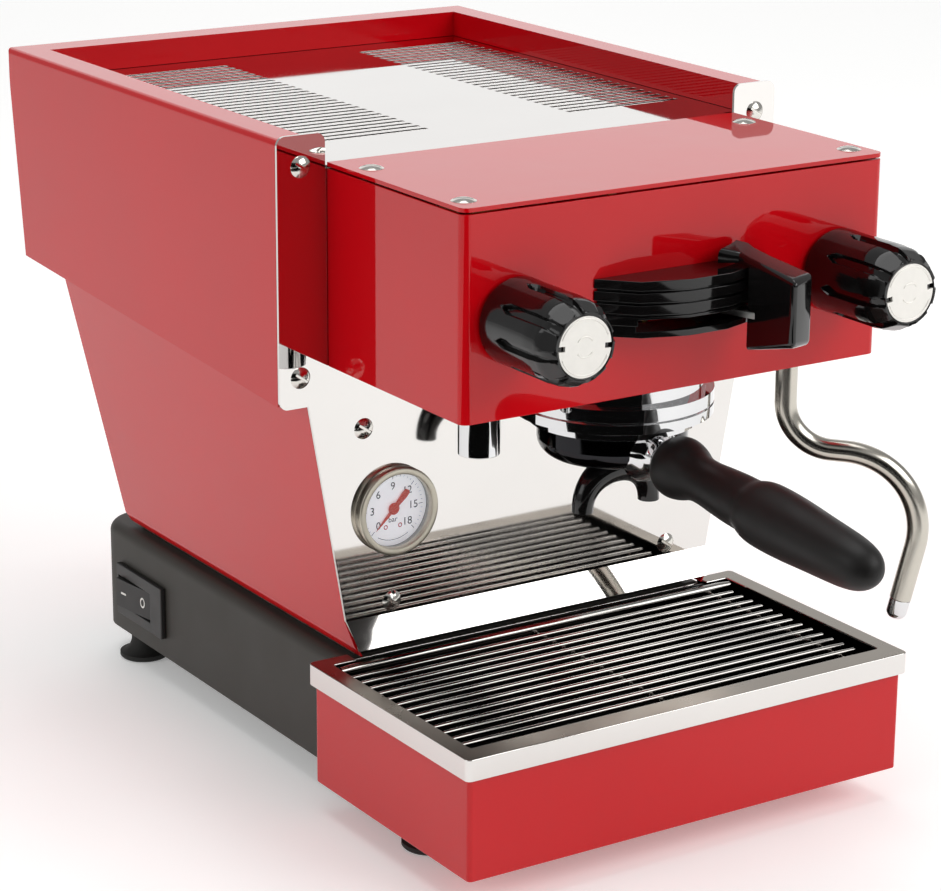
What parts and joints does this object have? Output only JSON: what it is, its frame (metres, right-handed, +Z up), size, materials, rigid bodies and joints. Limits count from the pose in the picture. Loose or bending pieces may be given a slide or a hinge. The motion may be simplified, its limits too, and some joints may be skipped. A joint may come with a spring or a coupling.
{
  "type": "espresso machine",
  "caption": "Home espresso machine with a painted steel body, brewing group and portafilter, steam wand, paddle, round knobs, pressure gauge and a drip drawer.",
  "frame": {"origin": "on the worktop under the feet, midway between the two sides and midway between the rear edge and the end of the portafilter's handle", "axes": "+X to the machine's right seen from the front, +Y to the rear, +Z up"},
  "size_m": [0.2901, 0.5587, 0.34],
  "materials": {
    "red_paint": "gloss enamel",
    "mirror_steel": "mirror polished stainless steel",
    "satin_steel": "satin stainless steel",
    "screw_steel": "polished stainless steel",
    "zinc_steel": "plain steel",
    "chrome": "bright chrome",
    "brass": "machined brass",
    "copper": "bare copper",
    "black_base": "fine matt",
    "gloss_black": "gloss",
    "black_rubber": "matt",
    "grip_rubber": "soft satin",
    "cap_silver": "fine satin, nearly white",
    "dial_white": "satin print",
    "needle_red": "satin",
    "clear_glass": "clear",
    "clear_plastic": "translucent",
    "tank_plastic": "satin",
    "board_green": "satin"
  },
  "bodies": {
    "machine": {"base_floor": "black_base", "base_housing": "black_base", "feet": "black_rubber", "chassis_plate": "zinc_steel", "lower_body": "red_paint", "upper_body": "red_paint", "front_panel": "mirror_steel", "panel_screws": "screw_steel", "cup_tray": "mirror_steel", "group_cover": "red_paint", "group_lid": "red_paint", "lid_screws": "screw_steel", "paddle_housing": "gloss_black", "group_head": "chrome", "group_gasket": "black_rubber", "shower_screen": "zinc_steel", "hot_water_spout": "chrome", "steam_valve": "brass", "hot_water_valve": "brass", "wand_socket": "zinc_steel", "gauge_case": "zinc_steel", "gauge_bezel": "satin_steel", "gauge_dial": "dial_white", "gauge_glass": "clear_glass", "switch_bezel": "gloss_black", "power_inlet": "gloss_black", "brew_boiler": "copper", "steam_boiler": "satin_steel", "pump": "zinc_steel", "control_board": "board_green", "copper_pipes": "copper"},
    "steam_knob": {"steam_knob": "gloss_black", "steam_knob_cap": "cap_silver", "steam_stem": "zinc_steel"},
    "hot_water_knob": {"hot_water_knob": "gloss_black", "hot_water_knob_cap": "cap_silver", "hot_water_stem": "zinc_steel"},
    "paddle": {"paddle_handle": "gloss_black", "paddle_arm": "zinc_steel"},
    "portafilter": {"portafilter_body": "chrome", "portafilter_basket": "satin_steel", "portafilter_handle": "grip_rubber", "portafilter_spout": "gloss_black"},
    "wand": {"steam_wand": "satin_steel", "wand_ball": "zinc_steel", "steam_tip": "satin_steel"},
    "needle": {"gauge_needle": "needle_red"},
    "rocker": {"switch_rocker": "gloss_black"},
    "drawer": {"drip_box": "red_paint", "drip_rim": "mirror_steel", "drip_tray": "satin_steel"},
    "grid": {"drip_grid": "chrome"},
    "tank": {"water_tank": "clear_plastic", "tank_lid": "tank_plastic"}
  },
  "joints": [
    {"name": "steam_knob_turn", "type": "hinge", "parent": "machine", "child": "steam_knob", "pos_m": [0.091, -0.133, 0.2727], "axis": [0, -1, 0], "range_deg": [0, 270]},
    {"name": "hot_water_knob_turn", "type": "hinge", "parent": "machine", "child": "hot_water_knob", "pos_m": [-0.091, -0.133, 0.2727], "axis": [0, -1, 0], "range_deg": [0, 270]},
    {"name": "paddle_swing", "type": "hinge", "parent": "machine", "child": "paddle", "pos_m": [0, -0.0815, 0.265], "axis": [0, 0, 1], "range_deg": [-40, 0]},
    {"name": "portafilter_turn", "type": "hinge", "parent": "machine", "child": "portafilter", "pos_m": [0, -0.0815, 0.206], "axis": [0, 0, 1], "range_deg": [-45, 0]},
    {"name": "wand_swivel", "type": "hinge", "parent": "machine", "child": "wand", "pos_m": [0.0884, -0.103, 0.24], "axis": [0, 0, 1], "range_deg": [-60, 80]},
    {"name": "needle_turn", "type": "hinge", "parent": "machine", "child": "needle", "pos_m": [-0.0817, -0.015, 0.1498], "axis": [0, 1, 0], "range_deg": [0, 270]},
    {"name": "switch_rock", "type": "hinge", "parent": "machine", "child": "rocker", "pos_m": [-0.108, 0.206, 0.0415], "axis": [0, 0, 1], "range_deg": [-14.5, 0]},
    {"name": "drawer_slide", "type": "slide", "parent": "machine", "child": "drawer", "axis": [0, -1, 0], "range_m": [0, 0.2]},
    {"name": "grid_lift", "type": "slide", "parent": "drawer", "child": "grid", "axis": [0, 0, 1], "range_m": [0, 0.01]},
    {"name": "tank_slide", "type": "slide", "parent": "machine", "child": "tank", "axis": [0, -1, 0], "range_m": [0, 0.18]}
  ],
  "couplings": [
    {"joint": "tank_slide", "follows": "drawer_slide", "ratio": 0.9}
  ]
}
